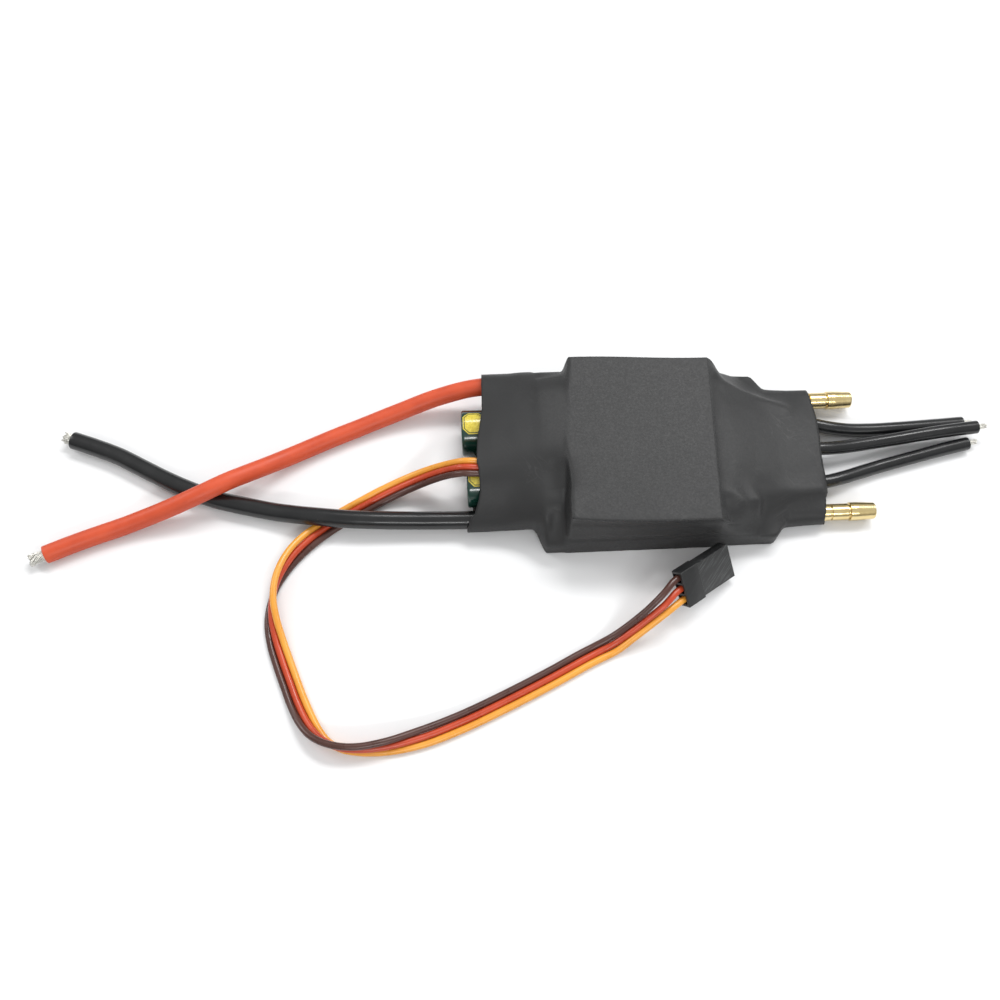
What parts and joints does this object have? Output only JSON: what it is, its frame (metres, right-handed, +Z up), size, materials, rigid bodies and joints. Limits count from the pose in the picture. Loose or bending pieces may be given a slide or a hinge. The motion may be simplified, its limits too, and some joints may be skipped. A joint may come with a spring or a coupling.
{
  "type": "electronic speed controller",
  "caption": "Water-cooled electronic speed controller for a brushless boat motor, in a heat-shrunk sleeve with water nipples, power leads and a servo lead.",
  "frame": {"origin": "middle of the cooling plate, on the face that the controller lies on", "axes": "+X towards the motor end and the water nipples, +Y towards the red battery lead's side, +Z up through the heat spreader"},
  "size_m": [0.2143, 0.0834, 0.0156],
  "materials": {
    "sleeve_film": "matte shrunk polyolefin",
    "plate_aluminium": "milled",
    "can_aluminium": "drawn",
    "brass": "turned",
    "seal_rubber": "matte",
    "thermal_pad": "soft matte",
    "chip_plastic": "moulded epoxy",
    "board": "green solder mask",
    "tinned_metal": "tinned",
    "ceramic": "fired ceramic",
    "capacitor_sleeve": "glossy shrunk vinyl with a plain yellow band",
    "red_silicone": "satin silicone",
    "black_silicone": "glossy silicone",
    "yellow_vinyl": "satin vinyl",
    "red_vinyl": "satin vinyl",
    "brown_vinyl": "satin vinyl",
    "plug_plastic": "moulded nylon"
  },
  "bodies": {
    "root": {"heat_shrink_sleeve": "sleeve_film", "cooling_plate": "plate_aluminium", "channel_plug": "brass", "rear_water_nipple": "brass", "front_water_nipple": "brass", "nipple_seals": "seal_rubber", "lower_thermal_pad": "thermal_pad", "lower_transistors": "chip_plastic", "power_board": "board", "upper_transistors": "chip_plastic", "current_shunt": "tinned_metal", "power_ceramic_capacitors": "ceramic", "board_header": "chip_plastic", "control_board": "board", "microcontroller": "chip_plastic", "gate_drivers": "chip_plastic", "voltage_regulators": "chip_plastic", "signal_resistors": "ceramic", "upper_thermal_pad": "thermal_pad", "heat_spreader": "plate_aluminium", "rear_capacitor_can": "can_aluminium", "front_capacitor_can": "can_aluminium", "rear_capacitor_sleeve": "capacitor_sleeve", "front_capacitor_sleeve": "capacitor_sleeve", "capacitor_bungs": "seal_rubber", "capacitor_leads": "tinned_metal", "red_battery_lead": "red_silicone", "black_battery_lead": "black_silicone", "red_lead_tip": "tinned_metal", "black_lead_tip": "tinned_metal", "rear_motor_lead": "black_silicone", "middle_motor_lead": "black_silicone", "front_motor_lead": "black_silicone", "rear_motor_tip": "tinned_metal", "middle_motor_tip": "tinned_metal", "front_motor_tip": "tinned_metal", "lead_cores": "tinned_metal", "solder_joints": "tinned_metal", "yellow_servo_wire": "yellow_vinyl", "red_servo_wire": "red_vinyl", "brown_servo_wire": "brown_vinyl", "servo_wire_cores": "tinned_metal", "plug_housing": "plug_plastic", "crimp_terminals": "brass"}
  },
  "joints": []
}
